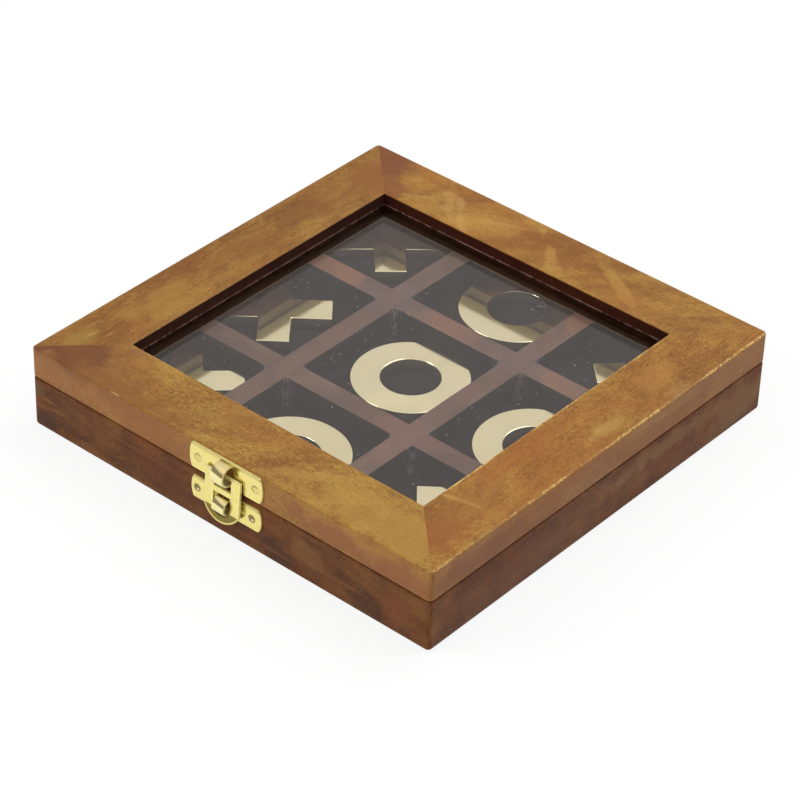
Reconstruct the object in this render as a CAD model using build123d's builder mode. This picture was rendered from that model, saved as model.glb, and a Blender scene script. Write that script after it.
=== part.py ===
# Tic-tac-toe game: a wooden tray of nine cells under a hinged, glazed lid with a brass hasp.
# Millimetres. The origin is the centre of the underside, +Z is up, the latch faces -Y.

from math import sqrt
import os

from build123d import *

os.makedirs("parts", exist_ok=True)

# The square box
box_side = 178.0
base_height = 20.1
seam_gap = 0.3
lid_thickness = 12.0
corner_radius = 1.8
seam_round = 0.6
top_round = 0.9
foot_round = 1.5

# The tray
wall_thickness = 8.3
panel_thickness = 6.0
panel_rebate = 3.5
panel_clearance = 0.15
pad_thickness = 3.7
pad_clearance = 0.3
divider_thickness = 8.2
lap_clearance = 0.1

# The glazed lid
rail_width = 24.2
rail_inner_round = 0.4
glass_below_top = 5.1
glass_thickness = 3.0
glass_in_groove = 4.0
glass_clearance = 0.15
groove_spare = 1.0

# The noughts and crosses
token_thickness = 5.2
token_clearance = 0.1
token_edge = 0.35
nought_side_play = 3.2
nought_hole = 21.0
cross_arm_width = 11.7
cross_side_play = 5.7
cross_corner = 0.5

# The two butt hinges
hinge_inset = 38.0
hinge_length = 25.0
leaf_thickness = 0.8
leaf_reach = 6.8
leaf_play = 0.1
mortise_clearance = 0.1
knuckle_count = 5
knuckle_radius = 1.6
knuckle_gap = 0.15
knuckle_stand_off = 0.2
pin_radius = 0.8
pin_clearance = 0.05
screw_spacing = 15.0
screw_set_back = 3.9
screw_radius = 0.8
screw_head_radius = 1.5
screw_length = 6.0

# The brass latch: two plates, each with a strap pressed out of it, and the hasp between them
latch_offset = 2.0
plate_thickness = 0.9
plate_bevel = 0.3
plate_end_bulge = 1.0
plate_corner = 1.1
strap_width = 5.2
strap_thickness = 0.8
strap_side_gap = 1.3
lid_plate_length = 32.4
lid_plate_height = 10.3
lid_plate_above_seam = 1.1
bridge_height = 8.0
bridge_depth = 5.5
keeper_length = 31.2
keeper_height = 9.0
keeper_below_rim = 1.6
bump_height = 6.4
bump_depth = 4.9
hasp_thickness = 0.9
hasp_width = 15.5
hasp_bar_radius = 0.6
hasp_bar_clearance = 0.1
hasp_hang = 0.5
hasp_lean = 0.95
hasp_knee_below_bump = 1.5
hasp_tab_length = 4.5
hasp_tab_flare = 0.9
hasp_bend = 3.0
hasp_window_width = 7.6
hasp_window_corner = 3.0
hasp_cross_bar = 2.0
hasp_over_bump = 1.5
hasp_under_bump = 0.5
nail_radius = 0.65
nail_head_radius = 1.5
nail_crown = 0.25
nail_length = 6.5
nail_clearance = 0.05
lid_nail_spacing = 25.5
lid_nail_shift = 0.6
keeper_nail_spacing = 24.4
keeper_nail_shift = -0.5

# Where each piece lies in its cell: column, row, shift right, shift back and turn in degrees
nought_places = [
    (1, 0, 1.5, -1.6, 0),
    (1, 1, 2.4, 2.1, 0),
    (1, 2, 2.9, 2.7, 0),
    (2, 1, 1.6, 0.7, 0),
]
cross_places = [
    (0, 0, 4.1, 4.8, -1.5),
    (0, 1, -3.1, 1.0, -5.4),
    (0, 2, -2.0, 4.4, -2.7),
    (2, 0, 4.4, 2.2, -5.0),
    (2, 2, 5.0, 5.2, 0.4),
]

# Sizes that follow from the ones above
half_side = box_side / 2
lid_bottom = base_height + seam_gap
lid_top = lid_bottom + lid_thickness
seam_middle = base_height + seam_gap / 2
floor_level = panel_thickness + pad_thickness
inner_side = box_side - 2 * wall_thickness
cell_side = (inner_side - 2 * divider_thickness) / 3
cell_pitch = cell_side + divider_thickness
divider_height = base_height - floor_level
glass_bottom = lid_top - glass_below_top - glass_thickness
window_side = box_side - 2 * rail_width
sides = ["front", "right", "back", "left"]


def save(piece, name):
    """Labels a finished piece and writes it to its own file."""
    piece.part.label = name
    export_step(piece.part, f"parts/{name}.step")


def side_plane(side, height):
    """A level plane whose own -Y looks out through the named side of the box."""
    turn = sides.index(side) * 360 / len(sides)
    return Plane.XY.offset(height).rotated((0, 0, turn))


def outward(side):
    """The direction that leads out of the box through the named side."""
    return Axis((0, 0, 0), side_plane(side, 0).y_dir * -1)


# A mitred side, used for the lid's rails and the tray's walls
def mitred_side(side, bottom, height, width, upper_round, lower_round):
    """One side of a square frame: 45 degree ends, half a rounded corner at each."""
    inner = half_side - width
    centre = half_side - corner_radius
    tip = centre + corner_radius * sqrt(0.5)
    with BuildPart() as bar:
        with BuildSketch(side_plane(side, bottom)):
            with BuildLine():
                Line((-inner, -inner), (-tip, -tip))
                CenterArc((-centre, -centre), corner_radius, 225, 45)
                Line((-centre, -half_side), (centre, -half_side))
                CenterArc((centre, -centre), corner_radius, 270, 45)
                Line((tip, -tip), (inner, -inner))
                Line((inner, -inner), (-inner, -inner))
            make_face()
        extrude(amount=height)
        top_edges = bar.faces().sort_by(Axis.Z)[-1].edges().sort_by(outward(side))
        fillet(top_edges[-3:], upper_round)
        foot_edges = bar.faces().sort_by(Axis.Z)[0].edges().sort_by(outward(side))
        fillet(foot_edges[-3:], lower_round)
    return bar


# The hinges lie in the seam at the back, with their barrels outside the box.
barrel_y = half_side + knuckle_stand_off + knuckle_radius
hinge_places = {"left": -half_side + hinge_inset, "right": half_side - hinge_inset}
leaf_levels = {"base": seam_middle - leaf_play / 2 - leaf_thickness, "lid": seam_middle + leaf_play / 2}
screw_faces = {
    "base": Plane.XY.offset(leaf_levels["base"] + leaf_thickness),
    "lid": Plane((0, 0, leaf_levels["lid"]), x_dir=(1, 0, 0), z_dir=(0, 0, -1)),
}


def screw_spots(leaf):
    """The screws' places on the visible face of a leaf, for both hinges."""
    flip = 1 if leaf == "base" else -1
    back = flip * (half_side - screw_set_back)
    return [(x + s * screw_spacing / 2, back) for x in hinge_places.values() for s in (-1, 1)]


def mortise(leaf):
    """The two shallow beds that take one leaf of each hinge."""
    with BuildPart() as bed:
        with BuildSketch(Plane.XY.offset(leaf_levels[leaf])):
            for x in hinge_places.values():
                with Locations((x, half_side - leaf_reach - mortise_clearance)):
                    Rectangle(
                        hinge_length + 2 * mortise_clearance,
                        leaf_reach + mortise_clearance + corner_radius,
                        align=(Align.CENTER, Align.MIN),
                    )
        extrude(amount=leaf_thickness)
    return bed


# The latch stands on the front; its planes look out along -Y with their own Y up.
bridge_level = lid_bottom + lid_plate_above_seam + lid_plate_height / 2
bump_level = base_height - keeper_below_rim - keeper_height / 2


def front_plane(level, proud=0.0):
    """A plane on the front face, centred on the latch, a height up and some way proud."""
    return Plane((latch_offset, -half_side - proud, level), x_dir=(1, 0, 0), z_dir=(0, -1, 0))


def profile_plane(level):
    """A plane across the latch: its own X leads out of the box and its Y leads up."""
    return Plane((latch_offset, -half_side, level), x_dir=(0, -1, 0), z_dir=(-1, 0, 0))


lid_nail_spots = [(lid_nail_shift + s * lid_nail_spacing / 2, 0) for s in (-1, 1)]
keeper_nail_spots = [(keeper_nail_shift + s * keeper_nail_spacing / 2, 0) for s in (-1, 1)]

# The tray's walls, with a rebate for the bottom panel
panel_side = inner_side + 2 * panel_rebate
for side in sides:
    with BuildPart() as base_wall:
        add(mitred_side(side, 0, base_height, wall_thickness, seam_round, foot_round).part)
        with BuildSketch():
            Rectangle(panel_side + 2 * panel_clearance, panel_side + 2 * panel_clearance)
        extrude(amount=panel_thickness, mode=Mode.SUBTRACT)
        if side == "back":
            add(mortise("base").part, mode=Mode.SUBTRACT)
            with Locations(screw_faces["base"]):
                with Locations(*screw_spots("base")):
                    Hole(screw_radius + nail_clearance, screw_length + nail_clearance)
        if side == "front":
            with Locations(front_plane(bump_level)):
                with Locations(*keeper_nail_spots):
                    Hole(nail_radius + nail_clearance, nail_length + nail_clearance)
    save(base_wall, f"base_wall_{side}")

with BuildPart() as base_panel:
    with BuildSketch():
        Rectangle(panel_side, panel_side)
    extrude(amount=panel_thickness)
save(base_panel, "base_panel")

with BuildPart() as velvet_pad:
    with BuildSketch(Plane.XY.offset(panel_thickness)):
        Rectangle(inner_side - 2 * pad_clearance, inner_side - 2 * pad_clearance)
    extrude(amount=pad_thickness)
save(velvet_pad, "velvet_pad")


# The dividers cross at half laps; those that run front to back lie on top.
def divider(offset, along_x):
    """A strip that stands on the pad, notched where the two strips across it pass."""
    size = (inner_side, divider_thickness) if along_x else (divider_thickness, inner_side)
    place = (0, offset) if along_x else (offset, 0)
    lap = divider_thickness + 2 * lap_clearance
    lap_level = floor_level + divider_height / 2 - lap_clearance / 2
    with BuildPart() as strip:
        with BuildSketch(Plane.XY.offset(floor_level)):
            with Locations(place):
                Rectangle(*size)
        extrude(amount=divider_height)
        with BuildSketch(Plane.XY.offset(lap_level if along_x else floor_level)):
            for across in (-cell_pitch / 2, cell_pitch / 2):
                with Locations((across, offset) if along_x else (offset, across)):
                    Rectangle(lap, lap)
        extrude(amount=(divider_height + lap_clearance) / 2, mode=Mode.SUBTRACT)
    return strip


save(divider(-cell_pitch / 2, True), "divider_front")
save(divider(cell_pitch / 2, True), "divider_back")
save(divider(-cell_pitch / 2, False), "divider_left")
save(divider(cell_pitch / 2, False), "divider_right")

# The lid's rails, with a groove for the glass
groove_side = window_side + 2 * glass_in_groove + 2 * groove_spare
for side in sides:
    with BuildPart() as lid_rail:
        add(mitred_side(side, lid_bottom, lid_thickness, rail_width, top_round, seam_round).part)
        inner_edges = lid_rail.faces().sort_by(Axis.Z)[-1].edges().sort_by(outward(side))
        fillet(inner_edges[0], rail_inner_round)
        with BuildSketch(Plane.XY.offset(glass_bottom - glass_clearance)):
            Rectangle(groove_side, groove_side)
        extrude(amount=glass_thickness + 2 * glass_clearance, mode=Mode.SUBTRACT)
        if side == "back":
            add(mortise("lid").part, mode=Mode.SUBTRACT)
            with Locations(screw_faces["lid"]):
                with Locations(*screw_spots("lid")):
                    Hole(screw_radius + nail_clearance, screw_length + nail_clearance)
        if side == "front":
            with Locations(front_plane(bridge_level)):
                with Locations(*lid_nail_spots):
                    Hole(nail_radius + nail_clearance, nail_length + nail_clearance)
    save(lid_rail, f"lid_rail_{side}")

with BuildPart() as glass_pane:
    with BuildSketch(Plane.XY.offset(glass_bottom)):
        Rectangle(window_side + 2 * glass_in_groove, window_side + 2 * glass_in_groove)
    extrude(amount=glass_thickness)
save(glass_pane, "glass_pane")

# Butt hinges: each leaf has its own knuckles and makes room for those of the other
knuckle_pitch = hinge_length / knuckle_count


def hinge_leaf(x, leaf):
    """A leaf in its bed, with tongues that wrap into every second knuckle."""
    own = range(0 if leaf == "base" else 1, knuckle_count, 2)
    spots = [x - hinge_length / 2 + (n + 0.5) * knuckle_pitch for n in own]
    stretch = knuckle_pitch - knuckle_gap
    with BuildPart() as plate:
        with BuildSketch(Plane.XY.offset(leaf_levels[leaf])):
            with Locations((x, half_side)):
                Rectangle(hinge_length, leaf_reach, align=(Align.CENTER, Align.MAX))
            for spot in spots:
                with Locations((spot, half_side)):
                    Rectangle(stretch, barrel_y - half_side, align=(Align.CENTER, Align.MIN))
        extrude(amount=leaf_thickness)
        for spot in spots:
            with BuildSketch(Plane.YZ.offset(spot)):
                with Locations((barrel_y, seam_middle)):
                    Circle(knuckle_radius)
            extrude(amount=stretch / 2, both=True)
        with BuildSketch(Plane.YZ.offset(x)):
            with Locations((barrel_y, seam_middle)):
                Circle(pin_radius + pin_clearance)
        extrude(amount=hinge_length / 2, both=True, mode=Mode.SUBTRACT)
        with Locations(screw_faces[leaf]):
            near = [spot for spot in screw_spots(leaf) if abs(spot[0] - x) < hinge_length / 2]
            with Locations(*near):
                CounterSinkHole(
                    screw_radius + nail_clearance,
                    screw_head_radius + nail_clearance,
                    depth=2 * leaf_thickness,
                    counter_sink_angle=90,
                )
    return plate


for place, x in hinge_places.items():
    save(hinge_leaf(x, "base"), f"hinge_{place}_base_leaf")
    save(hinge_leaf(x, "lid"), f"hinge_{place}_lid_leaf")
    with BuildPart() as hinge_pin:
        with BuildSketch(Plane.YZ.offset(x)):
            with Locations((barrel_y, seam_middle)):
                Circle(pin_radius)
        extrude(amount=hinge_length / 2, both=True)
    save(hinge_pin, f"hinge_{place}_pin")


# Fasteners: each is a turned shape, driven in against its own plane
def screw_profile():
    """Half of a countersunk screw: flat head at zero, point down."""
    neck = screw_head_radius - screw_radius
    with BuildSketch(Plane.XZ) as half:
        with BuildLine():
            Polyline(
                (0, 0),
                (screw_head_radius, 0),
                (screw_radius, -neck),
                (screw_radius, -screw_length + screw_radius),
                (0, -screw_length),
                (0, 0),
            )
        make_face()
    return half.sketch


def nail_profile():
    """Half of an upholsterer's nail: low domed head with a tapered neck, point down."""
    neck = nail_head_radius - nail_radius
    with BuildSketch(Plane.XZ) as half:
        with BuildLine():
            dome = SagittaArc((0, nail_crown), (nail_head_radius, 0), nail_crown / 4)
            Polyline(
                dome @ 1,
                (nail_radius, -neck),
                (nail_radius, -nail_length + nail_radius),
                (0, -nail_length),
                dome @ 0,
            )
        make_face()
    return half.sketch


def driven(profile, face, spots):
    """The same turned fastener at each spot of a face."""
    with BuildPart() as turned:
        revolve(profile, Axis.Z)
    with BuildPart() as group:
        with Locations(face):
            with Locations(*spots):
                add(turned.part)
    return group


save(driven(screw_profile(), screw_faces["base"], screw_spots("base")), "hinge_base_screws")
save(driven(screw_profile(), screw_faces["lid"], screw_spots("lid")), "hinge_lid_screws")


# The latch's plates are stamped alike: a bevelled plate with a strap pressed out of it
def latch_plate(level, length, height, strap_height, strap_depth, nail_spots):
    """A plate with rounded ends, its strap and two countersunk nail holes."""
    run = length / 2 - plate_end_bulge
    leg = strap_depth - strap_height / 2
    inner_height = strap_height - 2 * strap_thickness
    with BuildPart() as plate:
        with BuildSketch(front_plane(level)) as outline:
            with BuildLine():
                Line((-run, height / 2), (run, height / 2))
                ThreePointArc((run, height / 2), (length / 2, 0), (run, -height / 2))
                Line((run, -height / 2), (-run, -height / 2))
                ThreePointArc((-run, -height / 2), (-length / 2, 0), (-run, height / 2))
            make_face()
            fillet(outline.vertices(), plate_corner)
        extrude(amount=plate_thickness)
        chamfer(plate.faces().sort_by(Axis.Y)[0].edges(), plate_bevel)
        with BuildSketch(front_plane(level)):
            Rectangle(strap_width + 2 * strap_side_gap, inner_height)
        extrude(amount=plate_thickness, mode=Mode.SUBTRACT)
        with BuildSketch(profile_plane(level)):
            Rectangle(leg, strap_height, align=(Align.MIN, Align.CENTER))
            with Locations((leg, 0)):
                Circle(strap_height / 2)
            Rectangle(leg, inner_height, align=(Align.MIN, Align.CENTER), mode=Mode.SUBTRACT)
            with Locations((leg, 0)):
                Circle(inner_height / 2, mode=Mode.SUBTRACT)
            Rectangle(strap_depth, strap_height, align=(Align.MAX, Align.CENTER), mode=Mode.SUBTRACT)
        extrude(amount=strap_width / 2, both=True)
        with Locations(front_plane(level, plate_thickness)):
            with Locations(*nail_spots):
                CounterSinkHole(
                    nail_radius + nail_clearance,
                    nail_head_radius + nail_clearance,
                    depth=2 * plate_thickness,
                    counter_sink_angle=90,
                )
    return plate


latch_lid_plate = latch_plate(
    bridge_level, lid_plate_length, lid_plate_height, bridge_height, bridge_depth, lid_nail_spots
)
save(latch_lid_plate, "latch_lid_plate")
latch_keeper_plate = latch_plate(
    bump_level, keeper_length, keeper_height, bump_height, bump_depth, keeper_nail_spots
)
save(latch_keeper_plate, "latch_keeper_plate")

lid_nail_face = front_plane(bridge_level, plate_thickness)
keeper_nail_face = front_plane(bump_level, plate_thickness)
save(driven(nail_profile(), lid_nail_face, lid_nail_spots), "latch_lid_nails")
save(driven(nail_profile(), keeper_nail_face, keeper_nail_spots), "latch_keeper_nails")

# The hasp: a bent strip that hangs by a round bar in the bridge and fits over the bump
hasp_axis_level = bridge_level - hasp_hang
hasp_axis_proud = plate_thickness + hasp_bar_clearance + hasp_bar_radius
knee_drop = hasp_axis_level - bump_level + hasp_knee_below_bump
window_top_drop = hasp_axis_level - bump_level - bump_height / 2 - hasp_over_bump
window_foot_drop = hasp_axis_level - bump_level + bump_height / 2 + hasp_under_bump
half_width = hasp_width / 2
half_window = hasp_window_width / 2
with BuildPart() as latch_hasp:
    with BuildSketch(profile_plane(hasp_axis_level)):
        with BuildLine():
            strip = FilletPolyline(
                (hasp_axis_proud, 0),
                (hasp_axis_proud + hasp_lean, -knee_drop),
                (hasp_axis_proud + hasp_lean + hasp_tab_flare, -knee_drop - hasp_tab_length),
                radius=hasp_bend,
            )
            offset(strip, amount=hasp_thickness / 2, side=Side.BOTH)
        make_face()
        with Locations((hasp_axis_proud, 0)):
            Circle(hasp_bar_radius)
    extrude(amount=half_width, both=True)
    with BuildSketch(front_plane(hasp_axis_level)):
        with BuildLine():
            Line((-half_width, hasp_bar_radius), (half_width, hasp_bar_radius))
            Line((half_width, hasp_bar_radius), (half_width, -knee_drop))
            ThreePointArc((half_width, -knee_drop), (0, -knee_drop - hasp_tab_length), (-half_width, -knee_drop))
            Line((-half_width, -knee_drop), (-half_width, hasp_bar_radius))
        make_face()
    extrude(amount=2 * bridge_depth, mode=Mode.INTERSECT)
    with BuildSketch(front_plane(hasp_axis_level)):
        with Locations((0, -hasp_bar_radius)):
            Rectangle(
                hasp_window_width,
                window_top_drop - hasp_cross_bar - hasp_bar_radius,
                align=(Align.CENTER, Align.MAX),
            )
    extrude(amount=2 * bridge_depth, mode=Mode.SUBTRACT)
    with BuildSketch(front_plane(hasp_axis_level)) as lower_window:
        with Locations((0, -window_top_drop)):
            Rectangle(
                hasp_window_width,
                window_foot_drop - window_top_drop,
                align=(Align.CENTER, Align.MAX),
            )
        fillet(lower_window.vertices().group_by(Axis.Y)[0], hasp_window_corner)
    extrude(amount=2 * bridge_depth, mode=Mode.SUBTRACT)
save(latch_hasp, "latch_hasp")


# The noughts and crosses lie loose on the pad
token_level = floor_level + token_clearance


def cell_plane(column, row, right, back, turn):
    """The floor of a cell under a piece, shifted and turned as the piece lies."""
    x = (column - 1) * cell_pitch + right
    y = (row - 1) * cell_pitch + back
    return Plane((x, y, token_level)).rotated((0, 0, turn))


for number, place in enumerate(nought_places, start=1):
    with BuildPart() as nought:
        with BuildSketch(cell_plane(*place)):
            Circle(cell_side / 2 - nought_side_play)
            Circle(nought_hole / 2, mode=Mode.SUBTRACT)
        extrude(amount=token_thickness)
        fillet(nought.edges().filter_by(GeomType.CIRCLE), token_edge)
    save(nought, f"nought_{number}")

cross_span = (cell_side - 2 * cross_side_play) * sqrt(2) - cross_arm_width
for number, place in enumerate(cross_places, start=1):
    with BuildPart() as cross:
        with BuildSketch(cell_plane(*place)) as plan:
            Rectangle(cross_span, cross_arm_width, rotation=45)
            Rectangle(cross_span, cross_arm_width, rotation=-45)
            fillet(plan.vertices(), cross_corner)
        extrude(amount=token_thickness)
        fillet(cross.faces().filter_by(Axis.Z).edges(), token_edge)
    save(cross, f"cross_{number}")
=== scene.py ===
import math

import bmesh
import bpy
import numpy as np
from mathutils import Matrix


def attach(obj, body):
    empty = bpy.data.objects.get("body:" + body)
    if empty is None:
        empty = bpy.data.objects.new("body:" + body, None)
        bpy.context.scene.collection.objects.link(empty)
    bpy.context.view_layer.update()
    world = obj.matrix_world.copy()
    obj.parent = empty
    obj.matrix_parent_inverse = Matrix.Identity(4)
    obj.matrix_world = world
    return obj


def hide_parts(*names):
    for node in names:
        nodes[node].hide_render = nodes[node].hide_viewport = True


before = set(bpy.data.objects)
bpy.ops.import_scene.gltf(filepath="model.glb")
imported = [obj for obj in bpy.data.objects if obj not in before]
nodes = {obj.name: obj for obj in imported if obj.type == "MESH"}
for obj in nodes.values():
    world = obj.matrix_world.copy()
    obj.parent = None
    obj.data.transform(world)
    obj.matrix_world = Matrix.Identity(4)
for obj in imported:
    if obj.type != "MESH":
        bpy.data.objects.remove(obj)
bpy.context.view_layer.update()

# The tray's walls: four bars of dark stained hardwood, mitred and glued at the corners. The faces
# that look into the tray are sprayed with black flock up to the rim; the rim itself is bare.
half_side = 89.0
opening_half = 64.8
worn_level = 32.3
flocked_half = 80.85
flocked_top = 20.0
flocked_foot = 6.0
divider_middle = 28.27
divider_half = 4.1
cell_edge = 80.7
grain_depth = 0.00006
usual_fray = 2.2
ink_black = (0.006, 0.005, 0.006, 1.0)
soft_black = (0.020, 0.016, 0.018, 1.0)
lint_grey = (0.50, 0.47, 0.45, 1.0)
corner_dust_and_highlight = (0.30, 0.27, 0.27, 1.0)
crease_dust_and_highlight = (0.62, 0.57, 0.55, 1.0)


def tone(red, green, blue):
    """A colour as a screen shows it, 0 to 255, as the linear values that a shader works in."""
    seen = np.array([red, green, blue]) / 255
    linear = np.where(seen <= 0.04045, seen / 12.92, ((seen + 0.055) / 1.055) ** 2.4)
    return (*linear.tolist(), 1.0)


def add_node(tree, kind, inputs=(), **settings):
    """A shader node; inputs are pairs of a socket and its value, or the socket it is linked to."""
    made = tree.nodes.new("ShaderNode" + kind)
    for name, value in settings.items():
        setattr(made, name, value)
    for socket, value in inputs:
        if isinstance(value, bpy.types.NodeSocket):
            tree.links.new(value, made.inputs[socket])
        else:
            made.inputs[socket].default_value = value
    return made


def calc(tree, operation, *values):
    """One step of arithmetic on numbers."""
    return add_node(tree, "Math", enumerate(values), operation=operation).outputs[0]


def off(tree, value, level):
    """How far a number is from a level, up or down."""
    return calc(tree, "ABSOLUTE", calc(tree, "SUBTRACT", value, level))


def both(tree, first, *others):
    """Where all the masks let through."""
    for mask in others:
        first = calc(tree, "MULTIPLY", first, mask)
    return first


def move(tree, operation, *values):
    """One step of arithmetic on vectors that gives a vector."""
    return add_node(tree, "VectorMath", enumerate(values), operation=operation).outputs["Vector"]


def squeeze(tree, place, *shares):
    """A place with its three parts made smaller, which draws a pattern out that way."""
    return move(tree, "MULTIPLY", place, shares)


def swing(tree, place, angle):
    """A place turned about the upright axis, by radians."""
    inputs = [("Vector", place), ("Angle", angle)]
    return add_node(tree, "VectorRotate", inputs, rotation_type="Z_AXIS").outputs[0]


def length(tree, vector):
    """How long a vector is."""
    return add_node(tree, "VectorMath", [(0, vector)], operation="LENGTH").outputs["Value"]


def split(tree, vector):
    """The three numbers of a vector."""
    return add_node(tree, "SeparateXYZ", [(0, vector)]).outputs


def ramp(tree, value, low, high):
    """Rises smoothly from 0 at low to 1 at high, or falls where low is the larger."""
    inputs = [("Value", value), ("From Min", low), ("From Max", high)]
    return add_node(tree, "MapRange", inputs, interpolation_type="SMOOTHSTEP").outputs["Result"]


def mix(tree, mask, under, over, blend="MIX"):
    """The colour over laid on the colour under as far as the mask lets it."""
    inputs = [(0, mask), (6, under), (7, over)]
    return add_node(tree, "Mix", inputs, data_type="RGBA", blend_type=blend).outputs[2]


def noise(tree, place, scale, detail=2.0, roughness=0.5, distortion=0.0, output="Fac"):
    """Soft cloudy numbers round 0.5, or soft cloudy colours where the output is Color."""
    inputs = [
        ("Vector", place),
        ("Scale", scale),
        ("Detail", detail),
        ("Roughness", roughness),
        ("Distortion", distortion),
    ]
    return add_node(tree, "TexNoise", inputs).outputs[output]


def new_group(name, inputs, outputs):
    """An empty node group; gives the group, the values that it takes and those that it gives."""
    group = bpy.data.node_groups.new(name, "ShaderNodeTree")
    for socket, kind in inputs:
        group.interface.new_socket(socket, in_out="INPUT", socket_type="NodeSocket" + kind)
    for socket, kind in outputs:
        group.interface.new_socket(socket, in_out="OUTPUT", socket_type="NodeSocket" + kind)
    taken = group.nodes.new("NodeGroupInput").outputs
    given = group.nodes.new("NodeGroupOutput").inputs
    return group, taken, given


def use_group(tree, group, **inputs):
    """A shader node group put to work in a tree."""
    return add_node(tree, "Group", inputs.items(), node_tree=group).outputs


def new_finish(name):
    """A material with its one shader and the place on the piece in millimetres."""
    finish = bpy.data.materials.new(name)
    finish.use_nodes = True
    tree = finish.node_tree
    place = squeeze(tree, add_node(tree, "TexCoord").outputs["Object"], 1000, 1000, 1000)
    return finish, tree, tree.nodes["Principled BSDF"], place


def emboss(tree, shader, height, depth):
    """Lets the height, 0 to 1, stand up by that depth in metres."""
    bump = add_node(tree, "Bump", [("Height", height), ("Distance", depth)])
    tree.links.new(bump.outputs["Normal"], shader.inputs["Normal"])


def paint(node_name, finish):
    """Gives a CAD node its finish."""
    piece = nodes[node_name]
    piece.data.materials.clear()
    piece.data.materials.append(finish)


# The wood's figure: long fibres, broad bands, curl across the grain, a fine mottle and slanting
# swirls, in two tones that drift into each other, with dark pores and bright flecks along it.
plank, taken, given = new_group(
    "plank figure",
    [
        ("Place", "Vector"),
        ("Pale", "Color"),
        ("Warm", "Color"),
        ("Deep", "Color"),
        ("Lines", "Float"),
        ("Fine", "Float"),
        ("Sweep", "Float"),
    ],
    [("Colour", "Color"), ("Height", "Float"), ("Gloss", "Float")],
)
place = taken["Place"]
drift = move(plank, "SUBTRACT", noise(plank, place, 0.022, output="Color"), (0.5, 0.5, 0.5))
bent = move(plank, "ADD", place, move(plank, "MULTIPLY", drift, (0, 11, 11)))
long_way = squeeze(plank, bent, 0.07, 1, 1)
fibre = noise(plank, long_way, 0.75, 5.0, 0.62)
band = noise(plank, long_way, 0.13, 3.0)
curl = noise(plank, squeeze(plank, bent, 1, 0.22, 0.22), 0.11, 3.0, 0.55)
cloud = noise(plank, squeeze(plank, place, 0.45, 1, 1), 0.05, 3.0, 0.6)
mottle = noise(plank, squeeze(plank, place, 0.6, 1, 1), 1.0, 5.0, 0.78)
slant = squeeze(plank, swing(plank, place, -0.75), 0.22, 1, 1)
swirl = noise(plank, slant, 0.11, 2.0, 0.45, distortion=0.5)
figure = calc(plank, "MULTIPLY", calc(plank, "SUBTRACT", fibre, 0.5), taken["Lines"])
for pattern, share in ((band, 0.22), (curl, 0.2), (mottle, taken["Fine"]), (swirl, taken["Sweep"])):
    figure = calc(plank, "MULTIPLY_ADD", calc(plank, "SUBTRACT", pattern, 0.5), share, figure)
figure = ramp(plank, figure, -0.15, 0.15)
pale_part = mix(plank, figure, taken["Deep"], taken["Pale"])
warm_part = mix(plank, figure, taken["Deep"], taken["Warm"])
colour = mix(plank, ramp(plank, cloud, 0.42, 0.6), pale_part, warm_part)
dashes = squeeze(plank, place, 0.14, 1, 1)
pore = ramp(plank, noise(plank, dashes, 2.1, 1.0), 0.6, 0.7)
fleck = ramp(plank, noise(plank, move(plank, "ADD", dashes, (31, 17, 9)), 1.5, 1.0), 0.62, 0.7)
grit = noise(plank, squeeze(plank, place, 0.4, 1, 1), 2.2, 2.0, 0.6)
bright = move(plank, "MULTIPLY", taken["Pale"], (1.4, 1.45, 1.6))
for mask, share, over in (
    (pore, calc(plank, "MULTIPLY", taken["Lines"], 0.8), taken["Deep"]),
    (ramp(plank, grit, 0.5, 0.66), calc(plank, "MULTIPLY", taken["Fine"], 0.55), taken["Deep"]),
    (ramp(plank, grit, 0.42, 0.28), calc(plank, "MULTIPLY", taken["Fine"], 0.4), bright),
    (fleck, taken["Lines"], bright),
):
    colour = mix(plank, both(plank, mask, share), colour, over)
plank.links.new(colour, given["Colour"])
plank.links.new(calc(plank, "MULTIPLY_ADD", pore, -0.5, fibre), given["Height"])
plank.links.new(calc(plank, "MULTIPLY_ADD", cloud, 0.3, 0.33), given["Gloss"])

# A patch of another tone with a frayed outline, for a knot, a streak or a stain at its own place.
patch, taken, given = new_group(
    "figure patch",
    [
        ("Place", "Vector"),
        ("Centre", "Vector"),
        ("Reach", "Vector"),
        ("Turn", "Float"),
        ("Fray", "Float"),
    ],
    [("Mask", "Float")],
)
frayed = noise(patch, taken["Place"], 0.11, 4.0, 0.6, output="Color")
frayed = move(patch, "SUBTRACT", frayed, (0.5, 0.5, 0.5))
frayed = add_node(patch, "VectorMath", [(0, frayed), ("Scale", taken["Fray"])], operation="SCALE")
away = move(patch, "SUBTRACT", taken["Place"], taken["Centre"])
away = move(patch, "DIVIDE", swing(patch, away, taken["Turn"]), taken["Reach"])
away = move(patch, "ADD", away, frayed.outputs["Vector"])
patch.links.new(ramp(patch, length(patch, away), 1.1, 0.5), given["Mask"])

# Where the edges are paler, from rubbed stain and a painted highlight: broken along the edges that
# lie at one level and one distance out.
worn, taken, given = new_group(
    "worn edges",
    [("Place", "Vector"), ("Level", "Float"), ("Half", "Float")],
    [("Mask", "Float")],
)
x, y, z = split(worn, move(worn, "ABSOLUTE", taken["Place"]))
near_side = ramp(worn, off(worn, taken["Half"], calc(worn, "MAXIMUM", x, y)), 1.15, 0.2)
near_level = ramp(worn, off(worn, z, taken["Level"]), 1.0, 0.2)
rubbed = ramp(worn, noise(worn, taken["Place"], 0.8, 4.0, 0.75), 0.4, 0.6)
often = ramp(worn, noise(worn, taken["Place"], 0.045), 0.4, 0.58)
rubbed = calc(worn, "MULTIPLY", rubbed, calc(worn, "MULTIPLY_ADD", often, 0.8, 0.2))
worn.links.new(both(worn, near_side, near_level, rubbed), given["Mask"])
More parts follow.
